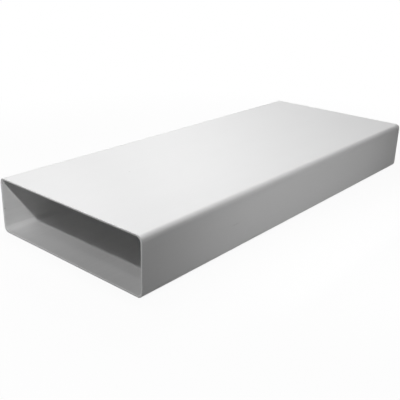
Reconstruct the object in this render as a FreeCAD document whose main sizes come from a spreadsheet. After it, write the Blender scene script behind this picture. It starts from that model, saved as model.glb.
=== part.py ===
"""Flat channel duct: one straight length of extruded white PVC, a hollow rectangle with rounded long corners.

Millimetres. The origin is under the middle of the duct, on the surface it lies on:
+X across the duct, +Y along it, +Z up. The sawn ends face -Y and +Y and are deburred inside and out.
"""

import math
import os

import FreeCAD
import Part
import Sketcher

# Driving dimensions: cell name, value in millimetres, meaning
SIZES = [
    ("width", 204.0, "outside width of the section"),
    ("height", 60.0, "outside height of the section"),
    ("length", 500.0, "sawn length"),
    ("wall", 1.8, "thickness of the four flat walls"),
    ("corner_radius", 6.0, "outside radius of the long corners"),
    ("inside_radius", 6.0, "inside radius of the long corners, which leaves them thicker than the walls"),
    ("deburr_inside", 0.4, "chamfer on the inner edge of each sawn end"),
    ("deburr_outside", 0.2, "chamfer on the outer edge of each sawn end"),
]

# How sketch constraints name a line's or arc's two ends, and the sketch's own horizontal axis,
# which starts at the sketch's origin
START, END = 1, 2
ORIGIN = -1

# A face whose normal has at least this share along Y is square to the duct's length
SQUARE_TO_LENGTH = 0.99


def make_sheet(doc):
    """The spreadsheet of driving dimensions, one aliased cell each with its meaning beside it."""
    sheet = doc.addObject("Spreadsheet::Sheet", "sizes")
    for row, (alias, value, meaning) in enumerate(SIZES, start=1):
        sheet.set(f"A{row}", str(value))
        sheet.setAlias(f"A{row}", alias)
        sheet.set(f"B{row}", meaning)
    doc.recompute()


def origin_plane(body, role):
    """One of the body's own origin planes, by its role."""
    return next(feature for feature in body.Origin.OriginFeatures if feature.Role == role)


def add_rounded_rectangle(sketch, half_width, bottom, top, radius):
    """Adds four sides and four corner arcs to the sketch, bound to the sheet by these expressions.

    The order is bottom side, lower right corner, right side, and so on anticlockwise.
    """
    right, low, high, round_off = (sketch.evalExpression(size) for size in (half_width, bottom, top, radius))
    inner_right, inner_low, inner_high = right - round_off, low + round_off, high - round_off
    sides = [
        ((-inner_right, low), (inner_right, low)),
        ((right, inner_low), (right, inner_high)),
        ((inner_right, high), (-inner_right, high)),
        ((-right, inner_high), (-right, inner_low)),
    ]
    corners = [
        (inner_right, inner_low, 1.5 * math.pi),
        (inner_right, inner_high, 0.0),
        (-inner_right, inner_high, 0.5 * math.pi),
        (-inner_right, inner_low, math.pi),
    ]
    first = sketch.GeometryCount
    for (start, end), (centre_x, centre_y, angle) in zip(sides, corners):
        sketch.addGeometry(Part.LineSegment(FreeCAD.Vector(*start, 0), FreeCAD.Vector(*end, 0)))
        circle = Part.Circle(FreeCAD.Vector(centre_x, centre_y, 0), FreeCAD.Vector(0, 0, 1), round_off)
        sketch.addGeometry(Part.ArcOfCircle(circle, angle, angle + 0.5 * math.pi))

    loop = list(range(first, sketch.GeometryCount))
    for here, after in zip(loop, loop[1:] + loop[:1]):
        sketch.addConstraint(Sketcher.Constraint("Tangent", here, END, after, START))
    for side, direction in zip(loop[0::2], ("Horizontal", "Vertical") * 2):
        sketch.addConstraint(Sketcher.Constraint(direction, side))
    for corner in loop[3::2]:
        sketch.addConstraint(Sketcher.Constraint("Equal", loop[1], corner))

    low_side, low_right_corner, right_side, _, high_side, _, left_side, _ = loop
    add_driven(sketch, half_width, "DistanceX", ORIGIN, START, right_side, START)
    add_driven(sketch, half_width, "DistanceX", left_side, START, ORIGIN, START)
    add_driven(sketch, top, "DistanceY", ORIGIN, START, high_side, START)
    if low == 0:
        sketch.addConstraint(Sketcher.Constraint("PointOnObject", low_side, START, ORIGIN))
    else:
        add_driven(sketch, bottom, "DistanceY", ORIGIN, START, low_side, START)
    add_driven(sketch, radius, "Radius", low_right_corner)


def add_driven(sketch, expression, *constraint):
    """Adds one size constraint to the sketch and binds it to the sheet by an expression."""
    index = sketch.addConstraint(Sketcher.Constraint(*constraint, sketch.evalExpression(expression)))
    sketch.setExpression(f"Constraints[{index}]", expression)


def section_sketch(body):
    """The duct's section: the outer rounded rectangle, and the inner one a wall's thickness inside its flat sides."""
    sketch = body.newObject("Sketcher::SketchObject", "section")
    sketch.AttachmentSupport = [(origin_plane(body, "XZ_Plane"), "")]
    sketch.MapMode = "FlatFace"
    add_rounded_rectangle(
        sketch,
        half_width="sizes.width / 2",
        bottom="0",
        top="sizes.height",
        radius="sizes.corner_radius",
    )
    add_rounded_rectangle(
        sketch,
        half_width="sizes.width / 2 - sizes.wall",
        bottom="sizes.wall",
        top="sizes.height - sizes.wall",
        radius="sizes.inside_radius",
    )
    return sketch


def end_edges(shape, inside):
    """Names of the edges round both sawn ends: those of the bore if inside, else those of the outline."""
    names = []
    for face in shape.Faces:
        if abs(face.normalAt(0, 0).y) < SQUARE_TO_LENGTH:
            continue
        for wire in face.Wires:
            if wire.isSame(face.OuterWire) == inside:
                continue
            for edge in wire.Edges:
                names += [f"Edge{n}" for n, other in enumerate(shape.Edges, start=1) if other.isSame(edge)]
    return names


def add_deburr(body, base, name, inside, size):
    """A chamfer round one edge of both sawn ends."""
    chamfer = body.newObject("PartDesign::Chamfer", name)
    chamfer.Base = (base, end_edges(base.Shape, inside))
    chamfer.setExpression("Size", size)
    body.Document.recompute()
    return chamfer


def make_duct(doc):
    """The whole duct: the section extruded both ways from the middle, then its sawn ends deburred."""
    body = doc.addObject("PartDesign::Body", "duct")
    body.Label = "duct"
    sketch = section_sketch(body)
    doc.recompute()

    extrusion = body.newObject("PartDesign::Pad", "extrusion")
    extrusion.Profile = sketch
    extrusion.SideType = "Symmetric"
    extrusion.setExpression("Length", "sizes.length")
    doc.recompute()

    inside = add_deburr(body, extrusion, "deburr_of_the_bore", True, "sizes.deburr_inside")
    body.Tip = add_deburr(body, inside, "deburr_of_the_outline", False, "sizes.deburr_outside")
    doc.recompute()
    return body


def check(doc, pieces):
    """Stops if a feature failed or a piece isn't one valid solid."""
    failed = [item.Name for item in doc.Objects if {"Invalid", "Error"} & set(item.State)]
    if failed:
        raise RuntimeError(f"these objects failed to build: {failed}")
    for piece in pieces:
        shape = piece.Shape
        if shape.isNull() or not shape.isValid() or len(shape.Solids) != 1:
            raise RuntimeError(f"{piece.Label} isn't one valid solid")


def main():
    doc = FreeCAD.newDocument("flat_channel_duct")
    make_sheet(doc)
    pieces = [make_duct(doc)]
    check(doc, pieces)
    os.makedirs("parts", exist_ok=True)
    for piece in pieces:
        piece.Shape.exportStep(f"parts/{piece.Label}.step")
        box = piece.Shape.BoundBox
        print(piece.Label, f"{box.XLength:.3f} x {box.YLength:.3f} x {box.ZLength:.3f} mm,",
              f"lowest z {box.ZMin:.3f}, volume {piece.Shape.Volume:.1f} mm3, faces {len(piece.Shape.Faces)}")


main()
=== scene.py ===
"""Flat channel duct in white PVC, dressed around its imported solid.

Here are the duct's mesh and finishes, the floor, the lamps and the camera. Metres, in the frame of the
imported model: +X across the duct, +Y along it, +Z up, its front end at -Y.
"""

import math

import bpy
from mathutils import Matrix, Vector, noise


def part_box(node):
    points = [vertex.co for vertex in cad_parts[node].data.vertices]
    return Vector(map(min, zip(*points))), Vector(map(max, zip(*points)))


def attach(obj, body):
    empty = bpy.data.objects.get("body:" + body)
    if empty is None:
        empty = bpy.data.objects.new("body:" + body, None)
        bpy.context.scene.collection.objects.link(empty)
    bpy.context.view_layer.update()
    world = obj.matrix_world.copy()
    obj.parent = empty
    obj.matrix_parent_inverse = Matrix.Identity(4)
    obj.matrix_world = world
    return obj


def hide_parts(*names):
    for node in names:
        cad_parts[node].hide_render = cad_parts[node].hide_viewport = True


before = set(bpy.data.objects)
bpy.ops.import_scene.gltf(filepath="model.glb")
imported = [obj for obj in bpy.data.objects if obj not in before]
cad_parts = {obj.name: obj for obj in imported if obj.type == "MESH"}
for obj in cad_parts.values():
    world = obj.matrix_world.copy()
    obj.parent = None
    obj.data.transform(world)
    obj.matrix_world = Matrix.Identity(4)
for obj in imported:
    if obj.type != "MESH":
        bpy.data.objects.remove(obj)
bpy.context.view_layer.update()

MM = 0.001
MICRON = 0.001 * MM
QUARTER_TURN = math.pi / 2

# The duct's wall, as on the solid
WALL = 1.8 * MM
CORNER_RADIUS = 6.0 * MM
INSIDE_RADIUS = 6.0 * MM
DEBURR_INSIDE = 0.4 * MM
DEBURR_OUTSIDE = 0.2 * MM

# How far round an inside corner has already turned where it meets the side wall, which leaves a faint crease
CREASE_TURN = math.radians(17.0)

# The narrow facet that each upper outside corner starts with at the side wall, before its round
FACET_TURN = math.radians(10.0)
FACET_LENGTH = 2.0 * MM

# How far the extruded walls draw in from true, and how wide and long those hollows are
HOLLOW_DEPTH = 0.10 * MM
HOLLOW_WIDTH = 55.0 * MM
HOLLOW_LENGTH = 140.0 * MM

# How finely the duct's mesh is divided. The close step is from a corner or a sawn end to the next points.
CORNER_STEPS = 16
EDGE_STEPS = 8
FLAT_STEP = 8.0 * MM
LENGTH_STEP = 8.0 * MM
CLOSE_STEP = 0.6 * MM
SHARP_ANGLE = math.radians(14.0)

# Sides of the section, and its long corners anticlockwise as seen from the front
RIGHT, LEFT = 1, -1
UPPER, LOWER = 1, -1
LONG_CORNERS = ((RIGHT, LOWER), (RIGHT, UPPER), (LEFT, UPPER), (LEFT, LOWER))

# Which finish a strip of the mesh has, in the order of the mesh's materials
SKIN, SAWN_END, BORE = range(3)


# Mesh of the duct


def girth_stations(low, high):
    """Stations round the section, anticlockwise.

    Each is a point of the skin and its outward direction, then a point of the bore and its own.
    """
    corners = [corner_stations(low, high, *sides) for sides in LONG_CORNERS]
    stations = []
    for corner, following in zip(corners, corners[1:] + corners[:1]):
        stations += corner
        stations += flat_stations(corner[-1], following[0])
    return stations


def corner_stations(low, high, side_x, side_z):
    """Stations round the long corner on this side in X and in Z."""
    edge = Vector((high.x if side_x == RIGHT else low.x, 0.0, high.z if side_z == UPPER else low.z))
    skin = upper_skin_corner(edge, side_x) if side_z == UPPER else lower_skin_corner(edge, side_x)
    bore_inset_x = WALL + INSIDE_RADIUS * math.cos(CREASE_TURN)
    bore_inset_z = WALL + INSIDE_RADIUS
    bore_centre = edge - Vector((side_x * bore_inset_x, 0.0, side_z * bore_inset_z))
    bore = corner_round(bore_centre, INSIDE_RADIUS, side_x, side_z, CREASE_TURN, CORNER_STEPS)
    stations = [(*of_skin, *of_bore) for of_skin, of_bore in zip(skin, bore)]
    starts_at_side = side_x == side_z
    return stations if starts_at_side else stations[::-1]


def upper_skin_corner(edge, side_x):
    """Points and outward directions round an upper outside corner: the facet, then the round that is left."""
    radius = (CORNER_RADIUS - FACET_LENGTH * math.cos(FACET_TURN)) / (1.0 - math.sin(FACET_TURN))
    inset_x = FACET_LENGTH * math.sin(FACET_TURN) + radius * math.cos(FACET_TURN)
    centre = edge - Vector((side_x * inset_x, 0.0, radius))
    facet_start = (edge - Vector((0.0, 0.0, CORNER_RADIUS)), outward(side_x, UPPER, 0.0))
    return [facet_start] + corner_round(centre, radius, side_x, UPPER, FACET_TURN, CORNER_STEPS - 1)


def lower_skin_corner(edge, side_x):
    """Points and outward directions round a lower outside corner, which is a plain round."""
    centre = edge - Vector((side_x * CORNER_RADIUS, 0.0, -CORNER_RADIUS))
    return corner_round(centre, CORNER_RADIUS, side_x, LOWER, 0.0, CORNER_STEPS)


def corner_round(centre, radius, side_x, side_z, first_turn, steps):
    """Points and outward directions round an arc, from its first turn off the side wall to a full quarter."""
    turn_step = (QUARTER_TURN - first_turn) / steps
    ways = [outward(side_x, side_z, first_turn + turn_step * step) for step in range(steps + 1)]
    return [(centre + radius * way, way) for way in ways]


def outward(side_x, side_z, turn):
    """The direction out of a corner, turned from its side wall towards the top or the underside."""
    return Vector((side_x * math.cos(turn), 0.0, side_z * math.sin(turn)))


def flat_stations(start, end):
    """Stations along a flat wall between two corners, with one close to each to keep its shading tight."""
    skin_start, way, bore_start, _ = start
    skin_end, _, bore_end, _ = end
    skin_run = skin_end - skin_start
    bore_run = bore_end - bore_start
    inner = skin_run.length - 2 * CLOSE_STEP
    count = round(inner / FLAT_STEP)
    stations = []
    for step in range(count + 1):
        share = (CLOSE_STEP + inner * step / count) / skin_run.length
        stations.append((skin_start + skin_run * share, way, bore_start + bore_run * share, way))
    return stations


def wall_outline(front, back):
    """The wall cut lengthways, as a closed loop.

    Each point has its depth under the skin or else its height over the bore, with None for the other,
    then its place along Y and the finish of the strip after it.
    """
    skin_front = front + DEBURR_OUTSIDE
    skin_back = back - DEBURR_OUTSIDE
    bore_front = front + DEBURR_INSIDE
    bore_back = back - DEBURR_INSIDE

    outline = [(0.0, None, place, SKIN) for place in places_along(skin_front, skin_back)]
    outline += sawn_end(back, inward=-1.0)
    outline += [(None, 0.0, place, BORE) for place in places_along(bore_back, bore_front)]
    outline.append((None, 0.0, bore_front, SAWN_END))
    outline += sawn_end(front, inward=1.0)[:0:-1]
    return outline


def places_along(start, end):
    """Places along the wall's length, all but its end, with one close to each end as on the flat walls."""
    close = math.copysign(CLOSE_STEP, end - start)
    inner = end - start - 2 * close
    count = round(abs(inner) / LENGTH_STEP)
    return [start] + [start + close + inner * step / count for step in range(count + 1)]


def sawn_end(end, inward):
    """Outline of one sawn end, from the skin to the scraped inner edge: eased outer edge, then sawn face."""
    outline = []
    for step in range(EDGE_STEPS + 1):
        angle = QUARTER_TURN * step / EDGE_STEPS
        depth = DEBURR_OUTSIDE * (1.0 - math.cos(angle))
        place = end + inward * DEBURR_OUTSIDE * (1.0 - math.sin(angle))
        outline.append((depth, None, place, SAWN_END))
    outline.append((None, DEBURR_INSIDE, end, SAWN_END))
    return outline


def hollow(place):
    """How far the wall draws in at this place on the skin, from nothing to the full depth."""
    spot = Vector((place.x / HOLLOW_WIDTH, place.y / HOLLOW_LENGTH, place.z / HOLLOW_WIDTH))
    return HOLLOW_DEPTH * (0.5 + 0.5 * noise.noise(spot))


def wall_points(girth, outline):
    """The mesh's points: the wall's outline carried round the section, one row for each outline point."""
    points = []
    for depth, height, place, _ in outline:
        along = Vector((0.0, place, 0.0))
        for skin, skin_way, bore, bore_way in girth:
            drawn_in = hollow(skin + along)
            if height is None:
                points.append(skin + along - skin_way * (depth + drawn_in))
            else:
                points.append(bore + along + bore_way * (height - drawn_in))
    return points


def wall_faces(rows, columns):
    """The mesh's faces, row by row, closed both round the section and round the wall's outline."""
    faces = []
    for row in range(rows):
        here = row * columns
        after = (row + 1) % rows * columns
        for column in range(columns):
            following = (column + 1) % columns
            faces.append((here + column, after + column, after + following, here + following))
    return faces


def make_duct(low, high):
    """The whole duct as one closed mesh, with a finish for each strip."""
    girth = girth_stations(low, high)
    outline = wall_outline(low.y, high.y)
    mesh = bpy.data.meshes.new("duct_shell")
    mesh.from_pydata(wall_points(girth, outline), [], wall_faces(len(outline), len(girth)))
    for finish in (outside_skin(high.y), sawn_face(), bore_skin(high.y)):
        mesh.materials.append(finish)
    finishes = [finish for _, _, _, finish in outline for _ in girth]
    mesh.polygons.foreach_set("material_index", finishes)
    mesh.shade_smooth()
    mesh.set_sharp_from_angle(angle=SHARP_ANGLE)
    mesh.update()
    duct = bpy.data.objects.new("duct_shell", mesh)
    bpy.context.scene.collection.objects.link(duct)
    return duct


# Node helpers

# Marks made of noise change a value both ways about the noise's middle. The others are masks.
NOISY_MARKS = ("clouds", "grain", "lines", "saw_lines")
NOISE_MIDDLE = 0.5


def add_node(tree, kind, inputs=None, **settings):
    """Adds a node with these settings, and sets or links each of its inputs by name or number."""
    node = tree.nodes.new(kind)
    for name, value in settings.items():
        setattr(node, name, value)
    for name, value in (inputs or {}).items():
        if isinstance(value, bpy.types.NodeSocket):
            tree.links.new(value, node.inputs[name])
        else:
            node.inputs[name].default_value = value
    return node


def add_math(tree, operation, *values):
    """The result of one sum on numbers or sockets."""
    return add_node(tree, "ShaderNodeMath", dict(enumerate(values)), operation=operation).outputs[0]


def add_vector_math(tree, operation, *values):
    """The outputs of one sum on vectors: Vector, or Value where the result is a number."""
    return add_node(tree, "ShaderNodeVectorMath", dict(enumerate(values)), operation=operation).outputs


def add_place(tree):
    """The place on the object, in metres."""
    return add_node(tree, "ShaderNodeTexCoord").outputs["Object"]


def add_ramp(tree, value, start, end):
    """A smooth rise from 0 to 1 as the value goes from start to end."""
    inputs = {"Value": value, "From Min": start, "From Max": end}
    return add_node(tree, "ShaderNodeMapRange", inputs, interpolation_type="SMOOTHSTEP").outputs[0]


def add_noise(tree, size, stretch=(1.0, 1.0, 1.0), detail=2.0):
    """Noise from 0 to 1 whose blotches have this size in metres, times the stretch along each axis."""
    squeeze = tuple(1.0 / share for share in stretch)
    squeezed = add_vector_math(tree, "MULTIPLY", add_place(tree), squeeze)["Vector"]
    scale = add_math(tree, "DIVIDE", 1.0, size)
    inputs = {"Vector": squeezed, "Scale": scale, "Detail": detail}
    return add_node(tree, "ShaderNodeTexNoise", inputs).outputs[0]


def add_marks(tree, start, marks, weights):
    """A number plus each of these marks times its weight. Noise leaves the number's average as it is."""
    total = start - sum(weights[name] * NOISE_MIDDLE for name in weights if name in NOISY_MARKS)
    for name, weight in weights.items():
        total = add_math(tree, "MULTIPLY_ADD", marks[name], weight, total)
    return total


def new_group(name, inputs, output):
    """An empty node group with named inputs and one output: its tree, its inputs and its output socket."""
    tree = bpy.data.node_groups.new(name, "ShaderNodeTree")
    for label, kind in inputs.items():
        tree.interface.new_socket(label, in_out="INPUT", socket_type=kind)
    tree.interface.new_socket(output, in_out="OUTPUT", socket_type="NodeSocketFloat")
    given = tree.nodes.new("NodeGroupInput").outputs
    result = tree.nodes.new("NodeGroupOutput").inputs[0]
    return tree, given, result


def place_group(tree, name, inputs):
    """The output of one of the groups below, placed in a material with its own values."""
    return add_node(tree, "ShaderNodeGroup", node_tree=bpy.data.node_groups[name], inputs=inputs).outputs[0]


def new_material(name):
    """An empty node material, its tree and its output node."""
    material = bpy.data.materials.new(name)
    material.use_nodes = True
    tree = material.node_tree
    tree.nodes.clear()
    return material, tree, tree.nodes.new("ShaderNodeOutputMaterial")


# Marks and grain that the finishes share

# Kinds of input that the groups take
LENGTH = "NodeSocketFloat"
PLACE = "NodeSocketVector"

# How far each pattern is drawn out along X, Y and Z
DIE_LINE_STRETCH = (1.0, 250.0, 1.0)
CLOUD_STRETCH = (1.0, 3.0, 1.0)
RUB_STRETCH = (1.0, 28.0, 1.0)

# Detail of the finer patterns
FINE = 3.0

# Rub marks: size of their patches, and the noise levels between which streaks and patches come in
RUB_PATCH = 45.0 * MM
RUB_STREAK_LEVELS = (0.62, 0.74)
RUB_PATCH_LEVELS = (0.50, 0.66)

# Small marks: size and share of the crumbs at their edges, and the shares of their half sizes where they fade
MARK_CRUMB = 0.9 * MM
MARK_CRUMB_SHARE = 0.8
MARK_FADE = (1.4, 0.5)

# Worn ends: size of their crumbs, and the noise levels between which those come in
END_CRUMB = 1.6 * MM
END_CRUMB_LEVELS = (0.45, 0.70)


def make_die_lines():
    """Fine lines along the length, drawn by the die that the PVC was pushed through."""
    tree, given, result = new_group("die_lines", {"Spacing": LENGTH}, "Height")
    tree.links.new(add_noise(tree, given["Spacing"], DIE_LINE_STRETCH, FINE), result)


def make_satin_grain():
    """Fine even grain of the satin skin."""
    tree, given, result = new_group("satin_grain", {"Size": LENGTH}, "Height")
    tree.links.new(add_noise(tree, given["Size"], detail=FINE), result)


def make_cooling_clouds():
    """Broad soft patches where the wall cooled at different speeds."""
    tree, given, result = new_group("cooling_clouds", {"Size": LENGTH}, "Tone")
    tree.links.new(add_noise(tree, given["Size"], CLOUD_STRETCH), result)


def make_rub_marks():
    """Sparse thin marks, in patches, where other lengths slid along this one."""
    tree, given, result = new_group("rub_marks", {"Width": LENGTH}, "Mask")
    streaks = add_ramp(tree, add_noise(tree, given["Width"], RUB_STRETCH), *RUB_STREAK_LEVELS)
    patches = add_ramp(tree, add_noise(tree, RUB_PATCH), *RUB_PATCH_LEVELS)
    tree.links.new(add_math(tree, "MULTIPLY", streaks, patches), result)


def make_dust_specks():
    """Scattered specks that were in the plastic or settled on it."""
    tree, given, result = new_group("dust_specks", {"Spacing": LENGTH, "Radius": LENGTH}, "Mask")
    scale = add_math(tree, "DIVIDE", 1.0, given["Spacing"])
    cells = add_node(tree, "ShaderNodeTexVoronoi", {"Vector": add_place(tree), "Scale": scale})
    distance = add_math(tree, "MULTIPLY", cells.outputs["Distance"], given["Spacing"])
    tree.links.new(add_ramp(tree, distance, given["Radius"], 0.0), result)


def make_small_mark():
    """One small mark with crumbled edges, by its middle and its half sizes."""
    tree, given, result = new_group("small_mark", {"Middle": PLACE, "Half Sizes": PLACE}, "Mask")
    away = add_vector_math(tree, "SUBTRACT", add_place(tree), given["Middle"])["Vector"]
    shares = add_vector_math(tree, "DIVIDE", away, given["Half Sizes"])["Vector"]
    distance = add_vector_math(tree, "LENGTH", shares)["Value"]
    crumbled = add_math(tree, "MULTIPLY_ADD", add_noise(tree, MARK_CRUMB), MARK_CRUMB_SHARE, distance)
    tree.links.new(add_ramp(tree, crumbled, *MARK_FADE), result)


def make_end_rub():
    """Worn patches close to the sawn ends, where lengths are pushed together."""
    tree, given, result = new_group("end_rub", {"Half Length": LENGTH, "Reach": LENGTH}, "Mask")
    along = add_node(tree, "ShaderNodeSeparateXYZ", {0: add_place(tree)}).outputs["Y"]
    to_end = add_math(tree, "SUBTRACT", given["Half Length"], add_math(tree, "ABSOLUTE", along))
    near = add_ramp(tree, to_end, given["Reach"], 0.0)
    crumbs = add_ramp(tree, add_noise(tree, END_CRUMB, detail=FINE), *END_CRUMB_LEVELS)
    tree.links.new(add_math(tree, "MULTIPLY", near, crumbs), result)


def make_groups():
    """Builds every shared group once, before the finishes place them."""
    make_die_lines()
    make_satin_grain()
    make_cooling_clouds()
    make_rub_marks()
    make_dust_specks()
    make_small_mark()
    make_end_rub()


# Finishes

# The plastic in each finish. Marks then change its tone and its roughness from these values.
PVC_IOR = 1.53
PVC_TONE = 0.80
# The sawn end's tone is lighter than the PVC's: painted light, standing in for more light on its face than
# the lamps give.
SAWN_TONE_WITH_PAINTED_LIGHT = 0.88
OUTSIDE_ROUGHNESS = 0.52
BORE_ROUGHNESS = 0.36
SAWN_ROUGHNESS = 0.68
OUTSIDE_SPECULAR = 0.35
BORE_SPECULAR = 0.5
SAWN_SPECULAR = 0.5

# Marks on this length
SIDE_SCUFF = {"Middle": (102.0 * MM, -121.0 * MM, 29.0 * MM), "Half Sizes": (3.0 * MM, 9.0 * MM, 1.1 * MM)}
TOP_SPECK = {"Middle": (-22.0 * MM, -146.0 * MM, 60.0 * MM), "Half Sizes": (1.3 * MM, 1.3 * MM, 1.3 * MM)}
BORE_SPOT = {"Middle": (-100.2 * MM, -249.0 * MM, 26.0 * MM), "Half Sizes": (1.2 * MM, 1.0 * MM, 1.5 * MM)}

# Lines that the saw left across its cut: their width, and how far they are drawn out along X, Y and Z
SAW_LINE = 0.35 * MM
SAW_STRETCH = (40.0, 1.0, 1.0)


def finish_shader(tree, output, tone, roughness, relief, specular):
    """Dresses a finish's shader with its tone, its roughness and its relief in metres."""
    bump = add_node(tree, "ShaderNodeBump", {"Height": relief, "Distance": 1.0, "Strength": 1.0})
    shader = add_node(tree, "ShaderNodeBsdfPrincipled", {
        "Base Color": tone,
        "Roughness": roughness,
        "IOR": PVC_IOR,
        "Specular IOR Level": specular,
        "Normal": bump.outputs[0],
    })
    tree.links.new(shader.outputs[0], output.inputs["Surface"])


def outside_skin(half_length):
    """Satin outside of the extrusion, with faint die lines, rub marks and specks."""
    material, tree, output = new_material("pvc_outside")
    marks = {
        "lines": place_group(tree, "die_lines", {"Spacing": 1.6 * MM}),
        "grain": place_group(tree, "satin_grain", {"Size": 0.9 * MM}),
        "clouds": place_group(tree, "cooling_clouds", {"Size": 40.0 * MM}),
        "rubs": place_group(tree, "rub_marks", {"Width": 0.45 * MM}),
        "specks": place_group(tree, "dust_specks", {"Spacing": 14.0 * MM, "Radius": 0.5 * MM}),
        "side_scuff": place_group(tree, "small_mark", SIDE_SCUFF),
        "top_speck": place_group(tree, "small_mark", TOP_SPECK),
        "ends": place_group(tree, "end_rub", {"Half Length": half_length, "Reach": 7.0 * MM}),
    }
    tone = add_marks(tree, PVC_TONE, marks, {
        "clouds": 0.03,
        "grain": 0.035,
        "lines": 0.02,
        "rubs": -0.03,
        "specks": -0.10,
        "side_scuff": -0.07,
        "top_speck": -0.12,
        "ends": 0.02,
    })
    roughness = add_marks(tree, OUTSIDE_ROUGHNESS, marks, {
        "clouds": 0.14,
        "grain": 0.08,
        "lines": 0.12,
        "rubs": 0.14,
        "ends": 0.10,
    })
    relief = add_marks(tree, 0.0, marks, {
        "lines": 14.0 * MICRON,
        "grain": 12.0 * MICRON,
        "rubs": -6.0 * MICRON,
        "side_scuff": -20.0 * MICRON,
        "ends": -6.0 * MICRON,
    })
    finish_shader(tree, output, tone, roughness, relief, OUTSIDE_SPECULAR)
    return material


def bore_skin(half_length):
    """Smoother inside of the extrusion, with plainer die lines."""
    material, tree, output = new_material("pvc_bore")
    marks = {
        "lines": place_group(tree, "die_lines", {"Spacing": 3.0 * MM}),
        "grain": place_group(tree, "satin_grain", {"Size": 1.1 * MM}),
        "clouds": place_group(tree, "cooling_clouds", {"Size": 28.0 * MM}),
        "rubs": place_group(tree, "rub_marks", {"Width": 0.6 * MM}),
        "specks": place_group(tree, "dust_specks", {"Spacing": 18.0 * MM, "Radius": 0.6 * MM}),
        "bore_spot": place_group(tree, "small_mark", BORE_SPOT),
        "ends": place_group(tree, "end_rub", {"Half Length": half_length, "Reach": 5.0 * MM}),
    }
    tone = add_marks(tree, PVC_TONE, marks, {
        "clouds": 0.03,
        "grain": 0.03,
        "lines": 0.065,
        "rubs": -0.03,
        "specks": -0.10,
        "bore_spot": -0.30,
        "ends": 0.02,
    })
    roughness = add_marks(tree, BORE_ROUGHNESS, marks, {
        "clouds": 0.10,
        "grain": 0.05,
        "lines": 0.18,
        "rubs": 0.12,
        "ends": 0.12,
    })
    relief = add_marks(tree, 0.0, marks, {
        "lines": 40.0 * MICRON,
        "grain": 8.0 * MICRON,
        "rubs": -6.0 * MICRON,
        "ends": -6.0 * MICRON,
    })
    finish_shader(tree, output, tone, roughness, relief, BORE_SPECULAR)
    return material


def sawn_face():
    """Matt sawn end, frosted by the blade, with its lines across the width; its tone is set lighter than the
    PVC's as painted light on the face.
    """
    material, tree, output = new_material("pvc_sawn_end")
    marks = {
        "saw_lines": add_noise(tree, SAW_LINE, SAW_STRETCH, FINE),
        "grain": place_group(tree, "satin_grain", {"Size": 0.35 * MM}),
        "clouds": place_group(tree, "cooling_clouds", {"Size": 12.0 * MM}),
    }
    # Painted light: the sawn face starts from the lighter tone above, not the PVC's own.
    tone = add_marks(tree, SAWN_TONE_WITH_PAINTED_LIGHT, marks, {"saw_lines": 0.05, "grain": 0.04, "clouds": 0.04})
    roughness = add_marks(tree, SAWN_ROUGHNESS, marks, {"saw_lines": 0.20, "grain": 0.10, "clouds": 0.10})
    relief = add_marks(tree, 0.0, marks, {"saw_lines": 25.0 * MICRON, "grain": 12.0 * MICRON})
    finish_shader(tree, output, tone, roughness, relief, SAWN_SPECULAR)
    return material


# Floor and world

WHITE = (1.0, 1.0, 1.0, 1.0)
FLOOR_RADIUS = 30.0
FLOOR_SIDES = 96

# The paper's tone as it is seen, and as it lights the duct
PAPER_SEEN = 0.95
PAPER_BOUNCE = 0.2

# Share of plain white in the paper near the duct, how far out that holds, and where the paper is all white
GLOW_NEAR = 0.93
GLOW_NEAR_RADIUS = 0.28
GLOW_FULL_RADIUS = 0.62

# Strength of the light from all round
AMBIENT = 0.012


def seen_directly(tree):
    """1 for a ray from the camera, or mirrored or passed on to it, and 0 for light that bounces."""
    path = tree.nodes.new("ShaderNodeLightPath").outputs
    seen = add_math(tree, "MAXIMUM", path["Is Camera Ray"], path["Is Glossy Ray"])
    return add_math(tree, "MAXIMUM", seen, path["Is Transmission Ray"])


def white_paper():
    """White studio floor: it takes a soft shadow near the duct and fades to plain white further out."""
    material, tree, output = new_material("white_paper")
    glow = add_node(tree, "ShaderNodeMapRange", {
        "Value": add_vector_math(tree, "LENGTH", add_place(tree))["Value"],
        "From Min": GLOW_NEAR_RADIUS,
        "From Max": GLOW_FULL_RADIUS,
        "To Min": GLOW_NEAR,
        "To Max": 1.0,
    }, interpolation_type="SMOOTHSTEP")
    seen = seen_directly(tree)
    share = add_math(tree, "MULTIPLY", glow.outputs[0], seen)
    tone = add_node(tree, "ShaderNodeMapRange", {"Value": seen, "To Min": PAPER_BOUNCE, "To Max": PAPER_SEEN})
    paper = add_node(tree, "ShaderNodeBsdfDiffuse", {"Color": tone.outputs[0]})
    white = add_node(tree, "ShaderNodeEmission", {"Color": WHITE, "Strength": 1.0})
    mix = add_node(tree, "ShaderNodeMixShader", {0: share, 1: paper.outputs[0], 2: white.outputs[0]})
    tree.links.new(mix.outputs[0], output.inputs["Surface"])
    return material


def make_floor(height):
    """A round floor under the duct, wide enough to reach the horizon in every view."""
    turns = [2 * math.pi * side / FLOOR_SIDES for side in range(FLOOR_SIDES)]
    rim = [(FLOOR_RADIUS * math.cos(turn), FLOOR_RADIUS * math.sin(turn), height) for turn in turns]
    mesh = bpy.data.meshes.new("studio_floor")
    mesh.from_pydata(rim, [], [tuple(range(FLOOR_SIDES))])
    mesh.materials.append(white_paper())
    floor = bpy.data.objects.new("studio_floor", mesh)
    bpy.context.scene.collection.objects.link(floor)


def make_world():
    """White behind everything that the camera sees, and a low even light from all round."""
    world = bpy.data.worlds.new("studio")
    world.use_nodes = True
    tree = world.node_tree
    tree.nodes.clear()
    output = tree.nodes.new("ShaderNodeOutputWorld")
    strength = add_node(tree, "ShaderNodeMapRange", {
        "Value": seen_directly(tree),
        "To Min": AMBIENT,
        "To Max": 1.0,
    })
    background = add_node(tree, "ShaderNodeBackground", {"Color": WHITE, "Strength": strength.outputs[0]})
    tree.links.new(background.outputs[0], output.inputs["Surface"])
    bpy.context.scene.world = world


# Lamps

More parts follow.
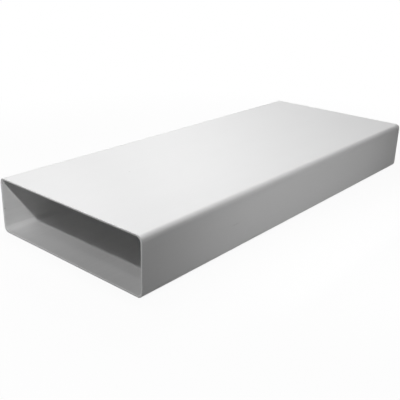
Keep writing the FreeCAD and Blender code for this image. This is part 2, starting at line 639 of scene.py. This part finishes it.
# Soft lamps round the duct: place, what each points at, its two sizes, power in watts
SOFT_LAMPS = {
    "overhead_left": ((-0.12, -0.15, 0.65), (-0.12, -0.15, 0.0), (0.25, 0.20), 1.15),
    "overhead_right": ((0.16, -0.15, 0.65), (0.16, -0.15, 0.0), (0.25, 0.20), 0.80),
    "far_left": ((-0.35, 0.36, 0.60), (0.0, 0.08, 0.0), (0.25, 0.20), 1.62),
    "right_front": ((0.32, -0.08, 0.10), (0.10, -0.08, 0.03), (0.12, 0.08), 0.060),
    "right_middle": ((0.34, 0.13, 0.05), (0.10, 0.13, 0.03), (0.14, 0.08), 0.033),
    "right_strip": ((0.212, 0.02, 0.032), (0.10, 0.02, 0.032), (0.40, 0.02), 0.038),
    "back_left": ((-0.90, 0.70, 0.50), (0.0, 0.0, 0.03), (0.50, 0.40), 0.60),
}

# Lamps before the mouth: how far across and how far up for each metre forward, distance, two sizes, power in
# watts. The rise sets how deep a lamp's light reaches along the floor of the bore.
MOUTH_LAMPS = {
    "key": (0.20, 1.53, 1.6, (0.06, 0.06), 5.75),
    "key_high": (0.05, 2.60, 1.4, (0.04, 0.04), 0.80),
    "key_low": (0.05, 1.26, 1.6, (0.06, 0.06), 0.72),
    "front": (0.03, 0.35, 1.2, (0.06, 0.20), 1.07),
}

# Narrow lamp from the right that lights the left wall inside the mouth: it aims left of the mouth's middle
SPOT_ACROSS = 3.4
SPOT_RISE = 1.53
SPOT_DISTANCE = 1.6
SPOT_AIM_LEFT = 0.19
SPOT_CONE = math.radians(9.0)
SPOT_SOFT_EDGE = 1.0
SPOT_RADIUS = 0.015
SPOT_POWER = 31.6


def from_mouth(mouth, across, rise, distance):
    """The place at this distance from the middle of the mouth."""
    return mouth + Vector((across, -1.0, rise)).normalized() * distance


def place_lamp(light, place, target):
    """Hangs a light at a place and points it at a target, out of the camera's sight."""
    lamp = bpy.data.objects.new(light.name, light)
    lamp.location = place
    lamp.rotation_euler = (Vector(target) - Vector(place)).to_track_quat("-Z", "Y").to_euler()
    lamp.visible_camera = False
    bpy.context.scene.collection.objects.link(lamp)


def make_soft_lamp(name, place, target, size, power):
    """One rectangular soft lamp."""
    light = bpy.data.lights.new(name, "AREA")
    light.shape = "RECTANGLE"
    light.size, light.size_y = size
    light.energy = power
    place_lamp(light, place, target)


def make_mouth_spot(mouth):
    """The narrow soft-edged lamp for the left wall of the bore."""
    light = bpy.data.lights.new("mouth_spot", "SPOT")
    light.energy = SPOT_POWER
    light.spot_size = SPOT_CONE
    light.spot_blend = SPOT_SOFT_EDGE
    light.shadow_soft_size = SPOT_RADIUS
    place = from_mouth(mouth, SPOT_ACROSS, SPOT_RISE, SPOT_DISTANCE)
    place_lamp(light, place, mouth - Vector((SPOT_AIM_LEFT, 0.0, 0.0)))


def make_lamps(low, high):
    """All lamps: those round the duct, those before its mouth, and the spot."""
    for name, settings in SOFT_LAMPS.items():
        make_soft_lamp(name, *settings)
    mouth = Vector((0.0, low.y, (low.z + high.z) / 2))
    for name, (across, rise, distance, size, power) in MOUTH_LAMPS.items():
        make_soft_lamp(name, from_mouth(mouth, across, rise, distance), mouth, size, power)
    make_mouth_spot(mouth)


# Camera

# The picture's width, the focal length in its pixels, the sensor's width and the nearest distance seen
IMAGE_PIXELS = 400
FOCAL_PIXELS = 631.825
SENSOR_MILLIMETRES = 36.0
NEAREST_SEEN = 10.0 * MM

# Its turn round the duct, its height and its roll, then its place along its own right, up and back
CAMERA_AZIMUTH = math.radians(39.912)
CAMERA_ELEVATION = math.radians(21.944)
CAMERA_ROLL = math.radians(1.587)
CAMERA_PLACE = Vector((-35.411, -8.0, 780.269)) * MM


def make_camera():
    """The photograph's viewpoint."""
    back = Vector((
        math.sin(CAMERA_AZIMUTH) * math.cos(CAMERA_ELEVATION),
        -math.cos(CAMERA_AZIMUTH) * math.cos(CAMERA_ELEVATION),
        math.sin(CAMERA_ELEVATION),
    ))
    level = Vector((math.cos(CAMERA_AZIMUTH), math.sin(CAMERA_AZIMUTH), 0.0))
    rise = back.cross(level)
    right = math.cos(CAMERA_ROLL) * level + math.sin(CAMERA_ROLL) * rise
    up = back.cross(right)
    axes = Matrix((right, up, back)).transposed()
    data = bpy.data.cameras.new("camera")
    data.sensor_width = SENSOR_MILLIMETRES
    data.lens = FOCAL_PIXELS * SENSOR_MILLIMETRES / IMAGE_PIXELS
    data.clip_start = NEAREST_SEEN
    camera = bpy.data.objects.new("camera", data)
    camera.matrix_world = Matrix.Translation(axes @ CAMERA_PLACE) @ axes.to_4x4()
    bpy.context.scene.collection.objects.link(camera)
    bpy.context.scene.camera = camera


def main():
    """Dresses the duct in place of its solid, then sets it on its floor under its lamps."""
    low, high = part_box("duct")
    make_groups()
    duct = make_duct(low, high)
    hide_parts("duct")
    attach(duct, "root")
    make_floor(low.z)
    make_world()
    make_lamps(low, high)
    make_camera()
    bpy.context.scene.view_settings.view_transform = "Standard"


main()
